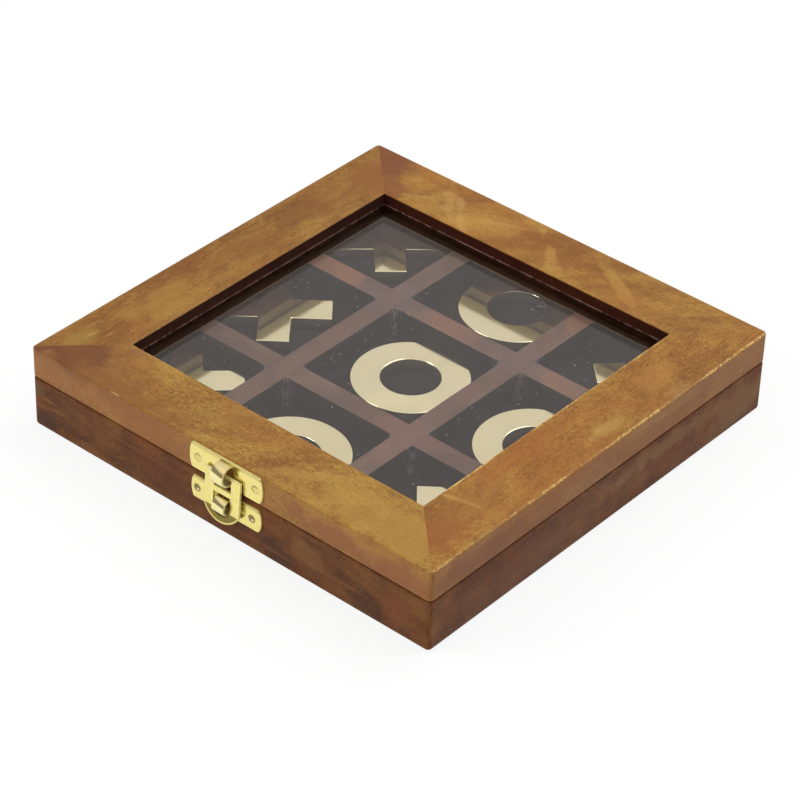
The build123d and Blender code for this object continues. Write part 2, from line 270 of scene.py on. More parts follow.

# Black flock, clouded and with specks of lint, paler down the upright corners of each cell: dust
# there, with a painted highlight.
flock, taken, given = new_group(
    "flock",
    [("Place", "Vector")],
    [("Colour", "Color"), ("Height", "Float")],
)
place = taken["Place"]
shade = ramp(flock, noise(flock, place, 0.07, 4.0, 0.6), 0.4, 0.72)
colour = mix(flock, shade, ink_black, soft_black)
speck = add_node(flock, "TexVoronoi", [("Vector", place), ("Scale", 0.34)]).outputs
chosen = ramp(flock, split(flock, speck["Color"])[0], 0.4, 0.95)
lint = both(flock, ramp(flock, speck["Distance"], 0.16, 0.07), chosen, 0.9)
colour = mix(flock, lint, colour, lint_grey)
pale_share = noise(flock, squeeze(flock, place, 1, 1, 0.3), 0.8, 4.0, 0.75)
pale_share = ramp(flock, pale_share, 0.36, 0.66)
gaps = []
for way in split(flock, move(flock, "ABSOLUTE", place))[:2]:
    to_divider = off(flock, off(flock, way, divider_middle), divider_half)
    gaps.append(calc(flock, "MINIMUM", to_divider, off(flock, way, cell_edge)))
# The corners of each cell are painted paler, and the crease where the walls meet paler still: dust
# with a painted highlight.
corner = both(flock, *(ramp(flock, gap, 7.0, -2.0) for gap in gaps))
corner = calc(flock, "POWER", corner, 1.6)
corner = both(flock, corner, calc(flock, "MULTIPLY_ADD", pale_share, 0.6, 0.12))
colour = mix(flock, corner, colour, corner_dust_and_highlight)
crease = both(flock, *(ramp(flock, gap, 2.4, 0.0) for gap in gaps))
crease = both(flock, crease, calc(flock, "MULTIPLY_ADD", pale_share, 0.9, -0.05))
colour = mix(flock, crease, colour, crease_dust_and_highlight)
flock.links.new(colour, given["Colour"])
flock.links.new(noise(flock, place, 1.6, 4.0, 0.7), given["Height"])

turn_of_side = {"front": 0, "right": 90, "back": 0, "left": 90}
shift_of_side = {
    "front": (0, 0, 0),
    "right": (340, 40, 0),
    "back": (700, 90, 0),
    "left": (1100, 150, 0),
}
worn_and_highlit_wood = tone(234, 203, 124)


def plank_finish(name, side, tones, shares, marks, pale_share=(0.0, 0.0)):
    """Wood with its grain along its side, its own marks, and paler outer and inner edges, rubbed
    and with a painted highlight.

    A mark is its centre, its reach each way, its turn in degrees, its colour, its strength and,
    where it isn't the usual one, how much its outline frays.
    """
    finish, tree, shader, place = new_finish(name)
    turn = (0, 0, math.radians(turn_of_side[side]))
    inputs = [("Vector", place), ("Rotation", turn), ("Location", shift_of_side[side])]
    along = add_node(tree, "Mapping", inputs).outputs[0]
    values = zip(("Pale", "Warm", "Deep", "Lines", "Fine", "Sweep"), (*tones, *shares))
    grain = use_group(tree, plank, Place=along, **dict(values))
    colour = grain["Colour"]
    for centre, reach, turn, mark, strength, *fray in marks:
        inputs = {"Centre": centre, "Reach": reach, "Turn": math.radians(turn)}
        inputs["Fray"] = fray[0] if fray else usual_fray
        mask = use_group(tree, patch, Place=place, **inputs)["Mask"]
        colour = mix(tree, calc(tree, "MULTIPLY", mask, strength), colour, mark)
    for half, share in zip((half_side, opening_half), pale_share):
        edge = use_group(tree, worn, Place=place, Level=worn_level, Half=half)["Mask"]
        colour = mix(tree, calc(tree, "MULTIPLY", edge, share), colour, worn_and_highlit_wood)
    return finish, tree, shader, place, colour, grain


tray_tones = (tone(123, 78, 36), tone(113, 62, 28), tone(80, 44, 22))
tray_shares = (0.22, 0.5, 0.3)
tray_marks = {
    "front": [
        ((-82, -89, 13.2), (5, 9, 0.7), 0, tone(140, 104, 60), 0.45, 0.9),
        ((-77, -89, 10.6), (5, 9, 0.6), 0, tone(144, 104, 62), 0.4, 0.9),
        ((-84, -89, 9.2), (4, 9, 0.5), 0, tone(130, 98, 58), 0.4, 0.9),
        ((-88, -89, 15.5), (6, 9, 4), 0, tone(106, 80, 48), 0.6, 0.8),
        ((-83, -89, 4), (8, 9, 5), 0, tone(70, 46, 34), 0.7),
        ((-10, -89, 9), (30, 9, 9), 0, tone(92, 52, 30), 0.5),
        ((24, -89, 6), (9, 9, 6), 0, tone(66, 44, 32), 0.7),
        ((10, -89, 5), (26, 9, 1.2), 0, tone(120, 72, 42), 0.5, 1.4),
        ((46, -89, 8), (20, 9, 1.0), 0, tone(124, 74, 44), 0.5, 1.4),
        ((-34, -89, 14), (24, 9, 1.0), 0, tone(116, 70, 42), 0.45, 1.4),
        ((38, -89, 12), (7, 9, 5), 0, tone(122, 86, 48), 0.5),
        ((62, -89, 6), (8, 9, 6), 0, tone(70, 44, 32), 0.6),
        ((76, -89, 10), (7, 9, 7), 0, tone(126, 72, 42), 0.6),
    ],
    "right": [
        ((89, 30, 15), (9, 34, 4), 0, tone(128, 96, 58), 0.5),
        ((89, 72, 10), (9, 18, 12), 0, tone(124, 92, 56), 0.6),
        ((89, -40, 8), (9, 34, 8), 0, tone(102, 62, 42), 0.6),
    ],
    "back": [((-30, 89, 10), (20, 9, 6), 0, tone(78, 46, 32), 0.6)],
    "left": [((-89, 20, 10), (9, 22, 6), 0, tone(86, 52, 34), 0.6)],
}
for side in ("front", "right", "back", "left"):
    finish, tree, shader, place, colour, grain = plank_finish(
        "tray wood " + side, side, tray_tones, tray_shares, tray_marks[side]
    )
    x, y, z = split(tree, move(tree, "ABSOLUTE", place))
    inside = calc(tree, "LESS_THAN", calc(tree, "MAXIMUM", x, y), flocked_half)
    under_rim = calc(tree, "LESS_THAN", z, flocked_top)
    over_board = calc(tree, "GREATER_THAN", z, flocked_foot)
    flocked = both(tree, inside, under_rim, over_board)
    black = use_group(tree, flock, Place=place)
    tree.links.new(mix(tree, flocked, colour, black["Colour"]), shader.inputs["Base Color"])
    tree.links.new(calc(tree, "MAXIMUM", grain["Gloss"], flocked), shader.inputs["Roughness"])
    emboss(tree, shader, grain["Height"], grain_depth)
    shader.inputs["Specular IOR Level"].default_value = 0.12
    paint("base_wall_" + side, finish)

# The board under the tray: a plain thin sheet of the same stained wood, let into the walls'
# rebate. It is left rougher than the walls, because it is never seen.
board_shares = (0.5, 0.3, 0.2)
board_grain_depth = 0.00009
finish, tree, shader, place, colour, grain = plank_finish(
    "tray board", "front", tray_tones, board_shares, []
)
tree.links.new(colour, shader.inputs["Base Color"])
tree.links.new(grain["Gloss"], shader.inputs["Roughness"])
emboss(tree, shader, grain["Height"], board_grain_depth)
paint("base_panel", finish)

# The four dividers: strips halved over each other. Their tops are bare wood, rubbed and a little
# dusty, and their sides carry the same black flock as the cells.
divider_bare_from = 20.03
divider_tones = (tone(134, 100, 80), tone(122, 86, 67), tone(94, 70, 58))
divider_shares = (0.2, 0.3, 0.3)
divider_marks = [
    ((-60, 30, 20), (20, 9, 9), 0, tone(166, 110, 72), 0.6),
    ((28, 64, 20), (9, 14, 9), 0, tone(178, 112, 70), 0.6),
    ((52, 28, 20), (16, 9, 9), 0, tone(160, 112, 78), 0.5),
    ((-28, 28, 20), (14, 14, 9), 0, tone(112, 86, 82), 0.6),
    ((28, 28, 20), (14, 12, 9), 0, tone(116, 86, 80), 0.6),
    ((0, 28, 20), (16, 9, 9), 0, tone(158, 104, 76), 0.5),
    ((28, -30, 20), (16, 16, 9), 0, tone(150, 102, 82), 0.4),
]
for side in ("front", "back", "left", "right"):
    finish, tree, shader, place, colour, grain = plank_finish(
        "divider wood " + side, side, divider_tones, divider_shares, divider_marks
    )
    top = calc(tree, "GREATER_THAN", split(tree, place)[2], divider_bare_from)
    black = use_group(tree, flock, Place=place)
    tree.links.new(mix(tree, top, black["Colour"], colour), shader.inputs["Base Color"])
    rough = calc(tree, "MAXIMUM", grain["Gloss"], calc(tree, "SUBTRACT", 1.0, top))
    tree.links.new(rough, shader.inputs["Roughness"])
    emboss(tree, shader, grain["Height"], grain_depth)
    paint("divider_" + side, finish)

# The pad on the floor of the cells: card with black flock on it, cut to fill the tray under the
# dividers. It is a little uneven, and its edge is pressed down along the walls.
pad_half = 80.4
pad_top = 9.7
pad_foot = 6.0
pad_lift = 0.02
pad_sink = 0.03
pad_wave = 0.02
pad_edge_sink = 0.35
pad_edge_width = 0.4
pad_steps = 161


def grid_faces(rows, columns, wrap_rows=False, wrap_columns=False):
    """The quads of a grid of points; a wrapped way joins its last points to its first."""
    i = np.arange(rows if wrap_rows else rows - 1)
    j = np.arange(columns if wrap_columns else columns - 1)
    i, j = (a.ravel() for a in np.meshgrid(i, j, indexing="ij"))
    i2 = (i + 1) % rows
    j2 = (j + 1) % columns
    quads = [i * columns + j, i2 * columns + j, i2 * columns + j2, i * columns + j2]
    return np.stack(quads, axis=1)


def new_piece(name, points, faces, finish, smooth=True):
    """Puts points in millimetres and their faces into a mesh object at the origin."""
    mesh = bpy.data.meshes.new(name)
    mesh.from_pydata((points / 1000).tolist(), [], [list(f) for f in faces])
    mesh.update()
    mesh.polygons.foreach_set("use_smooth", [smooth and len(f) == 4 for f in faces])
    mesh.materials.append(finish)
    piece = bpy.data.objects.new(name, mesh)
    bpy.context.scene.collection.objects.link(piece)
    return piece


def pad_points():
    """A square sheet as two square grids of points, its napped top and its flat underside.

    The top's height is the pad's top less a small sink and a small share of a wave, and less a
    deeper sink that dies away exponentially from the sheet's edge. The wave is a sine along x
    times a sine along y, plus 0.6 of a sine that runs aslant.
    """
    t = np.linspace(-pad_half, pad_half, pad_steps)
    x, y = np.meshgrid(t, t, indexing="ij")
    edge = pad_half - np.maximum(np.abs(x), np.abs(y))
    wave = np.sin(0.21 * x + 0.4) * np.sin(0.17 * y - 0.6) + 0.6 * np.sin(0.43 * x - 0.31 * y)
    z = pad_top - pad_sink - pad_wave * wave - pad_edge_sink * np.exp(-edge / pad_edge_width)
    upper = np.stack([x, y, z], axis=-1).reshape(-1, 3)
    lower = np.stack([x, y, np.full_like(x, pad_foot + pad_lift)], axis=-1).reshape(-1, 3)
    return upper, lower


upper, lower = pad_points()
top_faces = grid_faces(pad_steps, pad_steps)
count = pad_steps * pad_steps
foot_faces = top_faces[:, ::-1] + count
index = np.arange(count).reshape(pad_steps, pad_steps)
rim = np.concatenate([index[0, :-1], index[:-1, -1], index[-1, :0:-1], index[:0:-1, 0]])
after = np.roll(rim, -1)
rim_faces = np.stack([rim, after, after + count, rim + count], axis=1)
finish, tree, shader, place = new_finish("black flock")
black = use_group(tree, flock, Place=place)
tree.links.new(black["Colour"], shader.inputs["Base Color"])
shader.inputs["Roughness"].default_value = 1.0
shader.inputs["Specular IOR Level"].default_value = 0.1
shader.inputs["Sheen Weight"].default_value = 0.25
emboss(tree, shader, black["Height"], 0.000004)
pad = new_piece(
    "flocked_pad",
    np.concatenate([upper, lower]),
    np.concatenate([top_faces, foot_faces, rim_faces]),
    finish,
    smooth=False,
)
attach(pad, "box")
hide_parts("velvet_pad")

# The noughts and crosses: nine loose tokens stamped or cut from polished pale metal, all of one
# thickness, with edges just broken so that they don't scratch. They lie as they were dropped.
token_foot = 9.8
token_thickness = 5.2
token_round = 0.35
face_margin = 0.12
nought_outer = 20.967
nought_inner = 10.5
cross_arm = 11.7
cross_corner = 0.5
cross_side_play = 5.7
cell_pitch = 56.533
divider_thickness = 8.2
token_pale = (0.985, 0.93, 0.62, 1)
token_clouded = (0.965, 0.90, 0.56, 1)
nought_places = [
    (1, 0, 1.5, -1.6, 0),
    (1, 1, 2.4, 2.1, 0),
    (1, 2, 2.9, 2.7, 0),
    (2, 1, 1.6, 0.7, 0),
]
cross_places = [
    (0, 0, 4.1, 4.8, -1.5),
    (0, 1, -3.1, 1.0, -5.4),
    (0, 2, -2.0, 4.4, -2.7),
    (2, 0, 4.4, 2.2, -5.0),
    (2, 2, 5.0, 5.2, 0.4),
]


def token_finish():
    """Polished pale gold metal with the faint cloud and hair lines of handling."""
    finish, tree, shader, place = new_finish("token metal")
    cloud = noise(tree, place, 0.06, 3.0, 0.6)
    hair = noise(tree, squeeze(tree, place, 0.25, 3.0, 3.0), 1.3, 2.0)
    colour = mix(tree, ramp(tree, cloud, 0.3, 0.7), token_pale, token_clouded)
    tree.links.new(colour, shader.inputs["Base Color"])
    rough = calc(tree, "MULTIPLY_ADD", ramp(tree, cloud, 0.3, 0.75), 0.05, 0.085)
    rough = calc(tree, "MULTIPLY_ADD", ramp(tree, hair, 0.62, 0.75), 0.05, rough)
    tree.links.new(rough, shader.inputs["Roughness"])
    shader.inputs["Metallic"].default_value = 1.0
    return finish


def rounded_wall(steps=5):
    """Offsets inwards and heights of one wall from foot to top, its two edges quarter rounds."""
    turn = np.linspace(0, math.pi / 2, steps)
    inset = token_round * np.concatenate([1 - np.sin(turn), 1 - np.cos(turn)])
    foot = token_round * (1 - np.cos(turn))
    top = token_thickness - token_round * (1 - np.sin(turn))
    return inset, np.concatenate([foot, top])


def nought_points(segments=144):
    """A ring: its cut, a rectangle with rounded edges, carried round a circle."""
    inset, height = rounded_wall()
    flat = token_round + face_margin
    cut_radius = np.concatenate(
        [
            nought_outer - inset,
            [nought_outer - flat, nought_inner + flat],
            nought_inner + inset[::-1],
            [nought_inner + flat, nought_outer - flat],
        ]
    )
    cut_height = np.concatenate([height, [token_thickness] * 2, height[::-1], [0, 0]])
    around = np.linspace(0, 2 * math.pi, segments, endpoint=False)
    x = np.cos(around)[:, None] * cut_radius
    y = np.sin(around)[:, None] * cut_radius
    z = np.broadcast_to(cut_height, x.shape)
    points = np.stack([x, y, z], axis=-1).reshape(-1, 3)
    return points, grid_faces(segments, len(cut_radius), True, True)


def cross_outline(steps=5):
    """The outline of two crossed bars, its corners small arcs, and the ways that face out of it."""
    half = cross_arm / 2
    reach = ((cell_pitch - divider_thickness - 2 * cross_side_play) * math.sqrt(2) - cross_arm) / 2
    corners = []
    for quarter in range(4):
        c, s = round(math.cos(quarter * math.pi / 2)), round(math.sin(quarter * math.pi / 2))
        for px, py, bulge in ((reach, -half, 1), (reach, half, 1), (half, half, -1)):
            corners.append((c * px - s * py, s * px + c * py, bulge))
    corners = np.array(corners)
    before = np.roll(corners[:, :2], 1, axis=0) - corners[:, :2]
    behind = np.roll(corners[:, :2], -1, axis=0) - corners[:, :2]
    before /= np.linalg.norm(before, axis=1)[:, None]
    behind /= np.linalg.norm(behind, axis=1)[:, None]
    centre = corners[:, :2] + cross_corner * (before + behind)
    share = np.linspace(0, 1, steps)[None, :, None]
    spoke = -behind[:, None] * (1 - share) - before[:, None] * share
    spoke /= np.linalg.norm(spoke, axis=2)[..., None]
    points = centre[:, None] + cross_corner * spoke
    outward = spoke * corners[:, None, 2:]
    return points.reshape(-1, 2), outward.reshape(-1, 2)


def cross_points():
    """The cross's wall from foot to top, its flat faces closed over a ring just inside the edge."""
    outline, outward = cross_outline()
    inset, height = rounded_wall()
    flat = token_round + face_margin
    inset = np.concatenate([[flat], inset, [flat]])
    height = np.concatenate([[0], height, [token_thickness]])
    xy = outline[:, None] - outward[:, None] * inset[None, :, None]
    z = np.broadcast_to(height, xy.shape[:2])
    points = np.concatenate([xy, z[..., None]], axis=2).reshape(-1, 3)
    faces = [list(f) for f in grid_faces(len(outline), len(height), True, False)]
    around = np.arange(len(outline)) * len(height)
    faces.append(list(around[::-1]))
    faces.append(list(around + len(height) - 1))
    return points, faces


def lay(points, place, turned):
    """The points turned about their own middle and set down in their cell."""
    column, row, right, back, turn = place
    angle = math.radians(turn + turned)
    c, s = math.cos(angle), math.sin(angle)
    x = points[:, 0] * c - points[:, 1] * s + (column - 1) * cell_pitch + right
    y = points[:, 0] * s + points[:, 1] * c + (row - 1) * cell_pitch + back
    return np.stack([x, y, points[:, 2] + token_foot], axis=1)


token_metal = token_finish()
for kind, places, (points, faces), turned in (
    ("nought", nought_places, nought_points(), 0),
    ("cross", cross_places, cross_points(), 45),
):
    for number, place in enumerate(places, start=1):
        name = f"{kind}_{number}"
        token = new_piece("polished_" + name, lay(points, place, turned), faces, token_metal)
        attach(token, name + "_body")
        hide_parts(name)

# The lid's rails: four flat bars of a lighter, golden wood with a lively figure, mitred and glued
# round the glass. Their tops are bleached golden, and their sides have kept a redder stain.
inner_faces_top = (32.3, 31.9)
inner_faces_foot = 20.6
inner_faces_half = (80.0, 76.0)
pale_band_level = 27.6
side_stain = tone(150, 100, 58)
inner_face_dark = tone(92, 38, 24)
pale_pink_band = tone(148, 112, 102)
painted_reflection_wood = tone(150, 132, 92)
lid_tones = (tone(178, 137, 62), tone(167, 116, 53), tone(132, 86, 38))
lid_tint = {
    "front": tone(246, 248, 246),
    "right": tone(244, 234, 226),
    "back": tone(250, 246, 246),
    "left": tone(232, 226, 228),
}
# Tints for each rail's upright faces: a warm tone on all, with painted shade that makes the right
# side darker and the left a little darker.
side_tint_and_shade = {
    "front": tone(250, 238, 212),
    "right": tone(222, 212, 182),
    "back": tone(250, 238, 212),
    "left": tone(244, 232, 208),
}
lid_shares = {
    "front": (0.12, 0.9, 0.35),
    "right": (0.22, 0.75, 0.25),
    "back": (0.14, 0.45, 0.42),
    "left": (0.3, 0.5, 0.25),
}
lid_marks = {
    "front": [
        ((-70, -78, 32), (28, 17, 9), 0, tone(136, 88, 48), 0.65),
        ((-80, -80, 32), (20, 12, 9), 20, tone(108, 64, 38), 0.75),
        ((-86, -86, 32), (14, 5, 9), 0, tone(116, 68, 38), 0.8, 0.8),
        ((-50, -86, 32), (30, 5, 9), 0, tone(128, 84, 44), 0.5),
        ((-49.5, -88.8, 32.3), (3, 0.35, 0.5), 0, tone(206, 162, 104), 0.7),
        ((64, -89, 25), (38, 9, 6), 0, tone(140, 82, 52), 0.75),
        ((-30, -89, 25), (34, 9, 6), 0, tone(150, 98, 58), 0.4),
        ((-80, -89, 27), (16, 9, 5), 0, tone(164, 116, 72), 0.6),
        ((-20, -78, 32), (16, 4, 9), -32, tone(146, 106, 52), 0.4),
        ((30, -76, 32), (22, 3, 9), -35, tone(186, 146, 72), 0.4),
        ((62, -80, 32), (40, 12, 9), 0, tone(184, 142, 66), 0.5),
    ],
    "right": [
        ((76, -76, 32), (15, 16, 9), 0, tone(150, 92, 44), 0.7),
        ((89, -62, 25), (9, 34, 6), 0, tone(118, 70, 44), 0.6),
        ((89, 34, 30), (9, 26, 3), 0, tone(172, 134, 82), 0.5),
        ((71, -55, 32), (10, 1.2, 9), -14, tone(204, 162, 92), 0.6),
        ((82, 8, 32), (3, 12, 9), 0, tone(186, 156, 84), 0.5, 1.6),
        ((76, 40, 32), (7, 12, 9), 0, tone(178, 128, 66), 0.5, 1.6),
        ((70, 78, 32), (14, 8, 9), 0, tone(148, 98, 46), 0.4),
        ((76, -56, 32), (9, 26, 9), 0, tone(150, 102, 50), 0.45, 1.6),
        ((70, -22, 32), (6, 30, 9), 0, tone(160, 100, 46), 0.5),
    ],
    "back": [
        ((-82, 82, 32), (19, 15, 9), 25, tone(124, 74, 46), 0.9, 0.6),
        ((-66, 68, 32), (9, 8, 9), 0, tone(130, 80, 46), 0.7, 0.9),
        ((-46, 79, 32), (14, 2.4, 9), 50, tone(192, 152, 86), 0.4, 3.6),
        ((-52, 73, 32), (14, 1.2, 9), -30, tone(194, 154, 88), 0.3, 3.0),
        ((-34, 71, 32), (14, 2.0, 9), 46, tone(194, 154, 88), 0.45, 3.6),
        ((-20, 78, 32), (16, 1.4, 9), -22, tone(190, 150, 82), 0.3, 3.0),
        ((6, 73, 32), (17, 3.4, 9), 40, tone(196, 156, 78), 0.4, 3.6),
        ((-10, 74, 32), (12, 8, 9), 0, tone(150, 96, 44), 0.25),
        ((34, 76, 32), (16, 3, 9), 30, tone(186, 146, 70), 0.5),
        ((40, 70, 32), (12, 6, 9), 0, tone(156, 102, 46), 0.4),
    ],
    "left": [
        ((-80, 35, 32), (8, 16, 9), 0, tone(118, 76, 38), 0.6),
        ((-76, 6, 32), (8, 20, 9), 0, tone(140, 98, 46), 0.5),
        ((-72, -66, 32), (5, 6, 9), 0, tone(140, 96, 46), 0.5, 1.0),
        ((-80, -74, 32), (5, 9, 9), 0, tone(168, 140, 62), 0.5, 1.2),
        ((-79, -70, 32), (0.5, 4, 9), 4, tone(204, 174, 104), 0.45, 1.0),
        ((-74.5, -66, 32), (0.4, 3, 9), -3, tone(200, 166, 96), 0.45, 1.0),
        ((-83, -66, 32), (0.5, 4, 9), 3, tone(196, 164, 90), 0.4, 1.0),
        ((-75, 72, 32), (12, 15, 9), 0, tone(152, 98, 50), 0.75, 1.0),
        ((-76, 48, 32), (9, 14, 9), 0, tone(148, 100, 50), 0.5, 1.4),
        ((-76, -40, 32), (8, 18, 9), 0, tone(178, 138, 62), 0.6),
    ],
}
# How pale each rail's outer and inner top edges are: rubbed wear, and on the right rail mostly a
# painted highlight.
lid_rub_and_highlight = {"front": (0.0, 0.2), "right": (1.0, 1.8), "back": (0.4, 0.0), "left": (0.3, 0.2)}


def facing(tree):
    """Which way the surface faces on the piece itself, as three numbers."""
    return split(tree, add_node(tree, "TexCoord").outputs["Normal"])


for side in ("front", "right", "back", "left"):
    finish, tree, shader, place, colour, grain = plank_finish(
        "lid wood " + side, side, lid_tones, lid_shares[side], lid_marks[side], lid_rub_and_highlight[side]
    )
    upright = ramp(tree, calc(tree, "ABSOLUTE", facing(tree)[2]), 0.75, 0.3)
    colour = mix(tree, 1.0, colour, lid_tint[side], "MULTIPLY")
    colour = mix(tree, upright, colour, side_tint_and_shade[side], "MULTIPLY")
    colour = mix(tree, calc(tree, "MULTIPLY", upright, 0.3), colour, side_stain)
    x, y, z = split(tree, move(tree, "ABSOLUTE", place))
    over_foot = calc(tree, "GREATER_THAN", z, inner_faces_foot)
    inside = calc(tree, "MULTIPLY", ramp(tree, z, *inner_faces_top), over_foot)
    inside = both(tree, ramp(tree, calc(tree, "MAXIMUM", x, y), *inner_faces_half), inside)
    # The faces inside the rails, round the pane, are darkened almost to a deep red brown.
    colour = mix(tree, calc(tree, "MULTIPLY", inside, 0.96), colour, inner_face_dark, "MULTIPLY")
    # A broken, paler pinkish band runs along those inside faces at one level.
    pale_band = ramp(tree, noise(tree, place, 0.5, 3.0, 0.6), 0.35, 0.6)
    pale_band = both(tree, ramp(tree, off(tree, z, pale_band_level), 0.6, 0.15), inside, pale_band, 0.9)
    colour = mix(tree, pale_band, colour, pale_pink_band)
    # What the tokens mirror of these faces is a painted reflection, paler than the faces: it is
    # shown only to a ray that was mirrored once and has passed the pane's two faces.
    ray = add_node(tree, "LightPath").outputs
    once_mirrored = calc(tree, "GREATER_THAN", ray["Glossy Depth"], 0.5)
    through_glass = calc(tree, "GREATER_THAN", ray["Transmission Depth"], 1.5)
    mirrored = both(tree, once_mirrored, through_glass, inside)
    colour = mix(tree, mirrored, colour, painted_reflection_wood)
    tree.links.new(colour, shader.inputs["Base Color"])
    rough = calc(tree, "MULTIPLY_ADD", inside, 0.35, grain["Gloss"])
    tree.links.new(rough, shader.inputs["Roughness"])
    emboss(tree, shader, grain["Height"], grain_depth)
    shader.inputs["Specular IOR Level"].default_value = 0.25
    paint("lid_rail_" + side, finish)

# The pane: plain clear float glass, faintly smeared. It was slid into the rails' grooves before
# the last mitre was glued.
finish, tree, shader, place = new_finish("clear glass")
shader.inputs["Base Color"].default_value = (0.97, 0.985, 0.98, 1)
shader.inputs["Transmission Weight"].default_value = 1.0
shader.inputs["IOR"].default_value = 1.45
smear = ramp(tree, noise(tree, place, 0.03, 3.0, 0.6), 0.5, 0.8)
tree.links.new(calc(tree, "MULTIPLY", smear, 0.012), shader.inputs["Roughness"])
paint("glass_pane", finish)

# The hinges and their screws: small butt hinges of thin rolled brass let into the seam at the
# back, a little dulled.
finish, tree, shader, place = new_finish("dulled brass")
stain = noise(tree, place, 0.4, 4.0, 0.65)
colour = mix(tree, ramp(tree, stain, 0.35, 0.7), (0.80, 0.66, 0.28, 1), (0.62, 0.47, 0.18, 1))
tree.links.new(colour, shader.inputs["Base Color"])
tree.links.new(calc(tree, "MULTIPLY_ADD", stain, 0.3, 0.15), shader.inputs["Roughness"])
shader.inputs["Metallic"].default_value = 1.0
for name in ("hinge_left", "hinge_right"):
    for part in ("_base_leaf", "_lid_leaf", "_pin"):
        paint(name + part, finish)
for name in ("hinge_base_screws", "hinge_lid_screws"):
    paint(name, finish)

# The latch: two plates stamped from bright brass strip and nailed to the front, one with a bridge,
# one with a bump. Painted shade darkens the hollows of the bridge and bump, and the hasp's thumb
# tab carries a painted dark reflection; its rim is left bright.
brass_bright = (0.90, 0.775, 0.275, 1)
brass_stained = (0.84, 0.70, 0.235, 1)
brass_painted_shade = (0.13, 0.085, 0.03, 1)
brass_bevel_shade = (0.42, 0.33, 0.12, 1)
brass_hollow_shade = (0.66, 0.56, 0.18, 1)
brass_hollow_deep_shade = (0.16, 0.10, 0.03, 1)
brass_glint = (0.93, 0.80, 0.42, 1)
brass_strap_highlight = (0.98, 0.92, 0.55, 1)
painted_reflection_brass = (0.82, 0.76, 0.52, 1)
plate_front = -89.9
plate_skin = 0.12
latch_middle = 2.0
hollow_half = 2.66
strap_half = 2.9
strap_proud = 0.25
nail_ring = 1.35
lid_nails = [(-10.15, 26.65), (15.35, 26.65)]
keeper_nails = [(-10.7, 14.0), (13.7, 14.0)]
pressed_lines = (31.0, 17.75)
straps = [(-90.5, 26.65, 3.2), (-90.7, 14.0, 2.4)]
slot_end = 0.0019
slot_gap = 0.00128


def apart(tree, place, spot):
    """How far a place is from a spot, in millimetres."""
    return length(tree, move(tree, "SUBTRACT", place, spot))


def diagonal(tree, first, second):
    """The longest side of the right-angled triangle that has these two sides."""
    squares = (calc(tree, "POWER", side, 2.0) for side in (first, second))
    return calc(tree, "SQRT", calc(tree, "ADD", *squares))


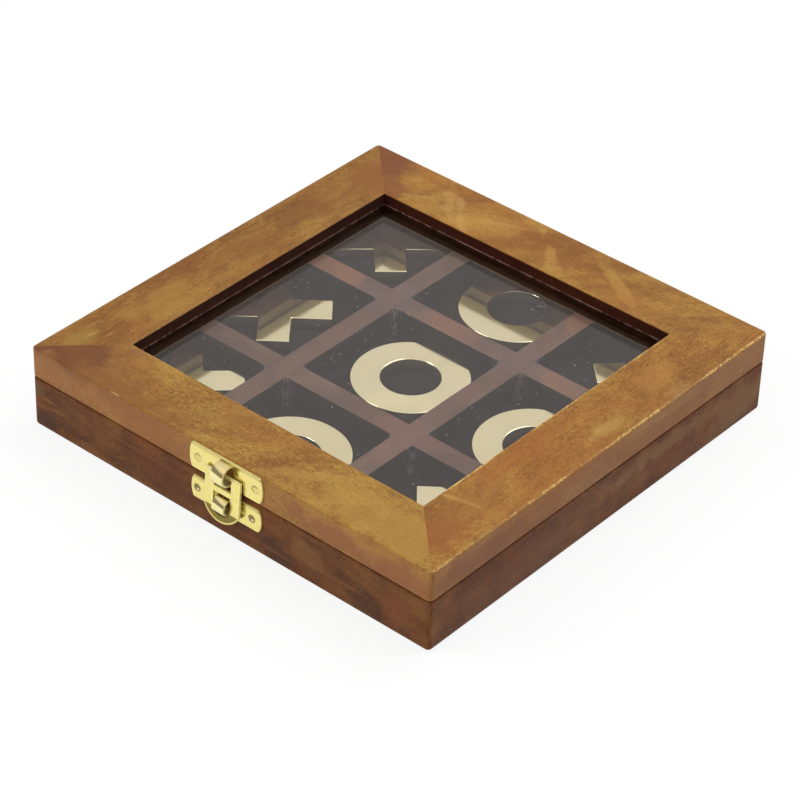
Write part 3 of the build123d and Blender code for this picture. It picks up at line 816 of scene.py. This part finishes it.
def brass_finish(name, edges_behind, edges_under):
    """Bright brass, dull on its cut edges behind the given y and under the given z, its bevels
    there painted darker as shade, with painted shade and glints at its nails.

    Gives the three parts of the place too, for the marks that only one piece has.
    """
    finish, tree, shader, place = new_finish(name)
    x, y, z = split(tree, place)
    faces_x, _, faces_z = facing(tree)
    stain = noise(tree, place, 0.5, 4.0, 0.65)
    colour = mix(tree, ramp(tree, stain, 0.4, 0.75), brass_bright, brass_stained)
    # Round each lid nail: a ring of painted shade, heavier away from the lower right, and a faint
    # painted shade over the head.
    for nail_x, nail_z in lid_nails:
        middle = apart(tree, place, (nail_x, plate_front, nail_z))
        ring = ramp(tree, off(tree, middle, nail_ring), 0.7, 0.1)
        lit_from = apart(tree, place, (nail_x + 1.1, plate_front, nail_z - 0.8))
        shaded = calc(tree, "MULTIPLY_ADD", ramp(tree, lit_from, 1.3, 2.8), 0.4, 0.06)
        colour = mix(tree, both(tree, ring, shaded), colour, brass_painted_shade)
        head = ramp(tree, middle, 1.5, 1.1)
        colour = mix(tree, calc(tree, "MULTIPLY", head, 0.14), colour, brass_painted_shade)
    # Each keeper nail's head is painted dark as shade, with a painted glint to its lower right.
    for nail_x, nail_z in keeper_nails:
        head = ramp(tree, apart(tree, place, (nail_x, plate_front, nail_z)), 1.7, 1.3)
        colour = mix(tree, calc(tree, "MULTIPLY", head, 0.85), colour, brass_painted_shade)
        glint = apart(tree, place, (nail_x + 0.5, plate_front, nail_z - 0.3))
        glint = calc(tree, "MULTIPLY", ramp(tree, glint, 0.8, 0.3), 0.8)
        colour = mix(tree, glint, colour, brass_glint)
    on_plate = calc(tree, "GREATER_THAN", y, plate_front - plate_skin)
    # Thin lines along the pressed lines of the plates are painted dark: painted shade.
    for line in pressed_lines:
        pressed = both(tree, ramp(tree, off(tree, z, line), 0.3, 0.08), on_plate, 0.4)
        colour = mix(tree, pressed, colour, brass_painted_shade)
    near_plate = calc(tree, "GREATER_THAN", y, edges_behind)
    low_edge = calc(tree, "LESS_THAN", z, edges_under)
    bevel = both(tree, ramp(tree, calc(tree, "ABSOLUTE", faces_z), 0.12, 0.4), near_plate)
    cut = ramp(tree, calc(tree, "ABSOLUTE", faces_x), 0.6, 0.9)
    # The bevels that face up or down are painted darker, as painted shade.
    colour = mix(tree, both(tree, bevel, low_edge, 0.4), colour, brass_bevel_shade)
    # Inside the bridge and the bump the brass is painted darker and duller, with blotches: painted
    # shade.
    hollow = 0.0
    for strap_y, strap_z, radius in straps:
        up = calc(tree, "SUBTRACT", z, strap_z)
        out = calc(tree, "MINIMUM", calc(tree, "SUBTRACT", y, strap_y), 0.0)
        within = calc(tree, "LESS_THAN", diagonal(tree, up, out), radius + plate_skin)
        hollow = calc(tree, "MAXIMUM", hollow, within)
    beside = calc(tree, "LESS_THAN", off(tree, x, latch_middle), hollow_half)
    in_front = calc(tree, "LESS_THAN", y, plate_front + 0.02)
    hollow = both(tree, hollow, beside, in_front)
    hollow_blotches = ramp(tree, noise(tree, place, 0.7, 3.0, 0.6), 0.5, 0.64)
    colour = mix(tree, hollow, colour, mix(tree, hollow_blotches, brass_hollow_shade, brass_hollow_deep_shade))
    # What other brass mirrors of this brass is painted paler and greyer: a painted reflection.
    mirrored = add_node(tree, "LightPath").outputs["Is Glossy Ray"]
    colour = mix(tree, mirrored, colour, painted_reflection_brass)
    dull = calc(tree, "MAXIMUM", calc(tree, "MAXIMUM", cut, bevel), hollow)
    scratch = noise(tree, squeeze(tree, place, 1.0, 1.0, 7.0), 1.6, 2.0)
    rough = calc(tree, "MULTIPLY_ADD", ramp(tree, scratch, 0.55, 0.75), 0.08, 0.14)
    tree.links.new(calc(tree, "MULTIPLY_ADD", dull, 0.3, rough), shader.inputs["Roughness"])
    tree.links.new(calc(tree, "MULTIPLY_ADD", dull, -0.6, 1.0), shader.inputs["Metallic"])
    emboss(tree, shader, stain, 0.00001)
    return finish, tree, shader, colour, (x, y, z)


def round_edges(node_name, finish, body, width):
    """A CAD node's own mesh with its loose triangles joined and its creases rounded over.

    The end of the slot on the strap's left is moved up to the strap, as it is stamped there.
    """
    mesh = nodes[node_name].data.copy()
    shape = bmesh.new()
    shape.from_mesh(mesh)
    bmesh.ops.remove_doubles(shape, verts=shape.verts, dist=2e-6)
    for corner in shape.verts:
        if abs(corner.co.x + slot_end) < 5e-5 and corner.co.y > -0.09:
            corner.co.x += slot_gap
    flat_angle = math.radians(0.6)
    bmesh.ops.dissolve_limit(shape, angle_limit=flat_angle, verts=shape.verts, edges=shape.edges)
    shape.to_mesh(mesh)
    shape.free()
    mesh.polygons.foreach_set("use_smooth", [True] * len(mesh.polygons))
    mesh.materials.clear()
    mesh.materials.append(finish)
    piece = bpy.data.objects.new("finished_" + node_name, mesh)
    bpy.context.scene.collection.objects.link(piece)
    piece.matrix_world = nodes[node_name].matrix_world
    bevel = piece.modifiers.new("rounded", "BEVEL")
    bevel.width = width / 1000
    bevel.segments = 3
    bevel.limit_method = "ANGLE"
    bevel.angle_limit = math.radians(28)
    bevel.harden_normals = True
    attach(piece, body)
    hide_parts(node_name)


plate_brass, tree, shader, colour, (x, y, z) = brass_finish(
    "bright brass", plate_front - plate_skin, 99.0
)
# The front of the raised bridge and bump is painted paler: a painted highlight.
raised = calc(tree, "LESS_THAN", y, plate_front - strap_proud)
on_strap = calc(tree, "LESS_THAN", off(tree, x, latch_middle), strap_half)
colour = mix(tree, both(tree, raised, on_strap, 0.5), colour, brass_strap_highlight)
tree.links.new(colour, shader.inputs["Base Color"])
for name, body, width in (
    ("latch_lid_plate", "lid", 0.12),
    ("latch_keeper_plate", "box", 0.12),
    ("latch_lid_nails", "lid", 0.1),
    ("latch_keeper_nails", "box", 0.1),
):
    round_edges(name, plate_brass, body, width)

# The hasp: cut from the same strip and bent at its knee. Its thumb tab, below the bend, carries
# a painted dark olive reflection, all but its rim; its top edge carries a painted highlight.
tab_level = 12.5
tab_middle = 16.92
tab_radius = 8.92
hasp_top_edge = 26.3
tab_painted_reflection = (0.21, 0.155, 0.03, 1)
hasp_top_highlight = (0.90, 0.81, 0.36, 1)
finish, tree, shader, colour, (x, y, z) = brass_finish("hasp brass", -99.0, 25.6)
beside = calc(tree, "SUBTRACT", x, latch_middle)
from_middle = diagonal(tree, beside, calc(tree, "SUBTRACT", z, tab_middle))
# The thumb tab is painted dark olive, a painted dark reflection, all but a rim along its round
# edge.
rim = calc(tree, "MULTIPLY", ramp(tree, from_middle, tab_radius - 0.75, tab_radius - 0.4), 0.8)
tab = ramp(tree, z, tab_level + 0.5, tab_level - 0.3)
tab = both(tree, tab, calc(tree, "SUBTRACT", 1.0, rim), 0.95)
colour = mix(tree, tab, colour, tab_painted_reflection)
# The hasp's top edge is painted paler: a painted highlight.
colour = mix(tree, calc(tree, "GREATER_THAN", z, hasp_top_edge), colour, hasp_top_highlight)
tree.links.new(colour, shader.inputs["Base Color"])
round_edges("latch_hasp", finish, "hasp", 0.2)

# The studio: a pale floor that shows white but keeps a soft shadow, a soft lamp high behind the
# right side, a weaker one in front, and a pale room that is darker near the horizon.
floor_half = 3.0
floor_pale = (0.92, 0.92, 0.92, 1)
floor_shown_white = 0.86
floor_near_box = (0.165, 0.128)
floor_mirrored_far = 0.28
floor_mirrored_rise = 0.72
room_low = 0.12
room_rise = 0.65
room_front = 0.14
room_lighting = 0.55
floor_shape = ((-1, -1), (1, -1), (1, 1), (-1, 1))
floor_mesh = bpy.data.meshes.new("floor")
floor_points = [(x * floor_half, y * floor_half, 0) for x, y in floor_shape]
floor_mesh.from_pydata(floor_points, [], [(0, 1, 2, 3)])
floor = bpy.data.objects.new("floor", floor_mesh)
bpy.context.scene.collection.objects.link(floor)
finish = bpy.data.materials.new("pale floor")
finish.use_nodes = True
tree = finish.node_tree
shader = tree.nodes["Principled BSDF"]
shader.inputs["Base Color"].default_value = floor_pale
shader.inputs["Roughness"].default_value = 1.0
shader.inputs["Specular IOR Level"].default_value = 0.0
ray = add_node(tree, "LightPath").outputs
x, y, z = split(tree, move(tree, "ABSOLUTE", add_node(tree, "TexCoord").outputs["Object"]))
near_box = ramp(tree, calc(tree, "MAXIMUM", x, y), *floor_near_box)
near_box = calc(tree, "MULTIPLY_ADD", near_box, floor_mirrored_rise, floor_mirrored_far)
mirrored = calc(tree, "MULTIPLY", ray["Is Glossy Ray"], near_box)
seen = calc(tree, "MAXIMUM", ray["Is Camera Ray"], ray["Is Transmission Ray"])
seen = calc(tree, "MULTIPLY", calc(tree, "MAXIMUM", seen, mirrored), floor_shown_white)
glow = add_node(tree, "Emission", [("Color", (1, 1, 1, 1)), ("Strength", 1.0)])
shown = add_node(tree, "MixShader", [(0, seen), (1, shader.outputs[0]), (2, glow.outputs[0])])
tree.links.new(shown.outputs[0], tree.nodes["Material Output"].inputs["Surface"])
floor_mesh.materials.append(finish)

world = bpy.data.worlds.new("studio")
bpy.context.scene.world = world
world.use_nodes = True
tree = world.node_tree
background = tree.nodes["Background"]
ray = add_node(tree, "LightPath").outputs
x, y, z = split(tree, add_node(tree, "TexCoord").outputs["Generated"])
in_front = calc(tree, "LESS_THAN", y, 0.0)
sky = ramp(tree, calc(tree, "MULTIPLY_ADD", in_front, -0.2, z), 0.3, 0.52)
room = calc(tree, "MULTIPLY_ADD", sky, room_rise, room_low)
room = calc(tree, "MULTIPLY_ADD", in_front, room_front, room)
room = calc(tree, "MAXIMUM", room, calc(tree, "LESS_THAN", z, 0.0))
mirrored = calc(tree, "MAXIMUM", ray["Is Glossy Ray"], ray["Is Transmission Ray"])
level = calc(tree, "SUBTRACT", room, room_lighting)
level = calc(tree, "MULTIPLY_ADD", level, mirrored, room_lighting)
to_white = calc(tree, "SUBTRACT", 1.0, level)
level = calc(tree, "MULTIPLY_ADD", to_white, ray["Is Camera Ray"], level)
blush = calc(tree, "MULTIPLY", mirrored, calc(tree, "GREATER_THAN", z, 0.0))
room_colour = mix(tree, blush, (1, 1, 1, 1), (1.0, 0.9, 0.87, 1))
tree.links.new(room_colour, background.inputs["Color"])
tree.links.new(level, background.inputs["Strength"])


def stand(thing, right, up, back, place):
    """Links a lamp or a camera and sets it at its place, looking away from its back."""
    made = bpy.data.objects.new(thing.name, thing)
    bpy.context.scene.collection.objects.link(made)
    made.matrix_world = Matrix([*zip(right, up, back, place), (0, 0, 0, 1)])
    return made


def soft_lamp(name, place, size, power):
    """A square soft lamp that looks at the middle of the box."""
    light = bpy.data.lights.new(name, "AREA")
    light.size = size
    light.energy = power
    back = np.array(place) / np.linalg.norm(place)
    right = np.cross((0, 0, 1), back)
    right /= np.linalg.norm(right)
    lamp = stand(light, right, np.cross(back, right), back, place)
    lamp.visible_camera = False
    return lamp


key = soft_lamp("key lamp", (0.25, 0.65, 1.15), 0.9, 8.0)
fill = soft_lamp("fill lamp", (-0.75, -0.95, 1.0), 0.55, 9.0)
fill.visible_glossy = False
rim_lamp = soft_lamp("rim lamp", (0.85, 0.88, 0.74), 0.4, 1.6)

# The camera stands where the photograph was taken from, about a metre off to the front right. Its
# lens and its place were fitted to the photograph.
camera_data = bpy.data.cameras.new("camera")
camera_data.lens = 145.09
camera_data.sensor_width = 36.0
camera_data.clip_start = 0.05
camera_right = (0.75522666, 0.65493136, 0.02641203)
camera_up = (-0.40424444, 0.43367366, 0.80530342)
camera_back = (0.51596426, -0.61886353, 0.59227427)
camera_place = (0.57407, -0.68890, 0.66572)
camera = stand(camera_data, camera_right, camera_up, camera_back, camera_place)
bpy.context.scene.camera = camera
bpy.context.scene.view_settings.view_transform = "Standard"
